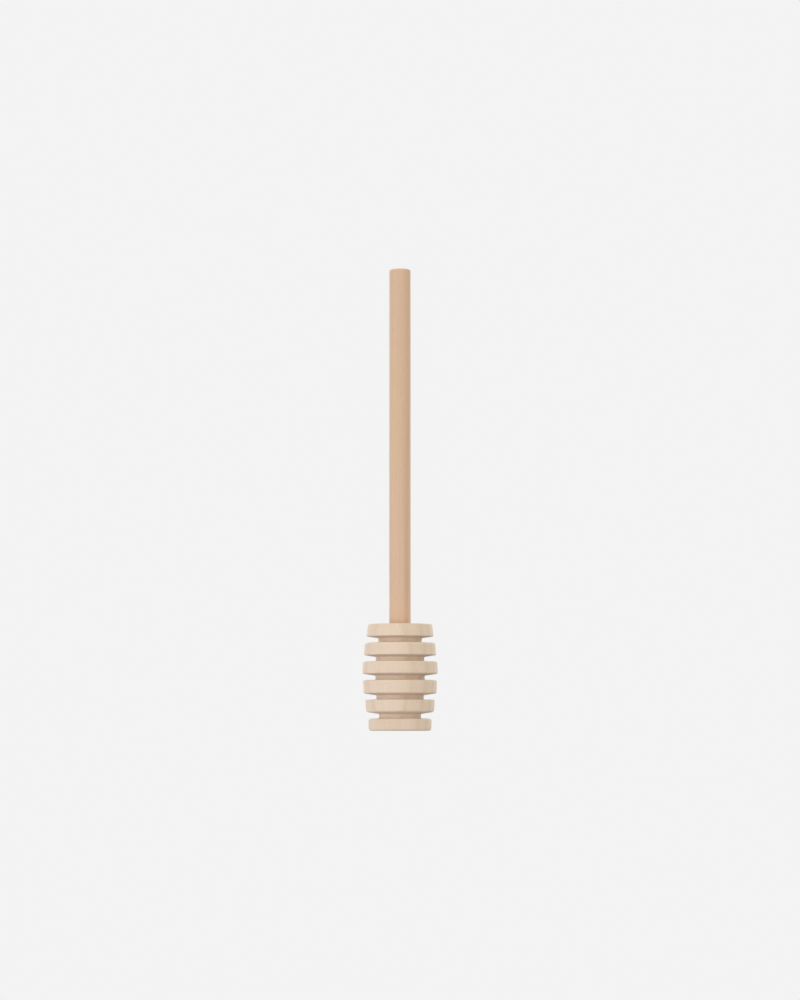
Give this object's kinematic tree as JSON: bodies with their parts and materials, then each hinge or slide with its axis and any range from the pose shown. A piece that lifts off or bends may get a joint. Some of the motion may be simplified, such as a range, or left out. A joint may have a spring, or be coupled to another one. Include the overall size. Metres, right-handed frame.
{
  "type": "honey dipper",
  "caption": "Wooden honey dipper: a barrel-shaped head cut into rings by deep grooves that hold honey, glued on a straight round dowel handle.",
  "frame": {"origin": "middle of the head's flat foot", "axes": "+Z along the axis of head and handle, from the foot towards the handle's tip"},
  "size_m": [0.0244, 0.0244, 0.151],
  "materials": {
    "head_wood": "bare pale hardwood, turned and sanded, fine straight grain along the axis",
    "handle_wood": "bare pinkish tan hardwood dowel, sanded, fine straight grain along the axis",
    "dried_glue": "dried wood glue, pale yellow, inside the joint"
  },
  "bodies": {
    "root": {"dipper_head": "head_wood", "handle": "handle_wood", "glue_film": "dried_glue"}
  },
  "joints": []
}
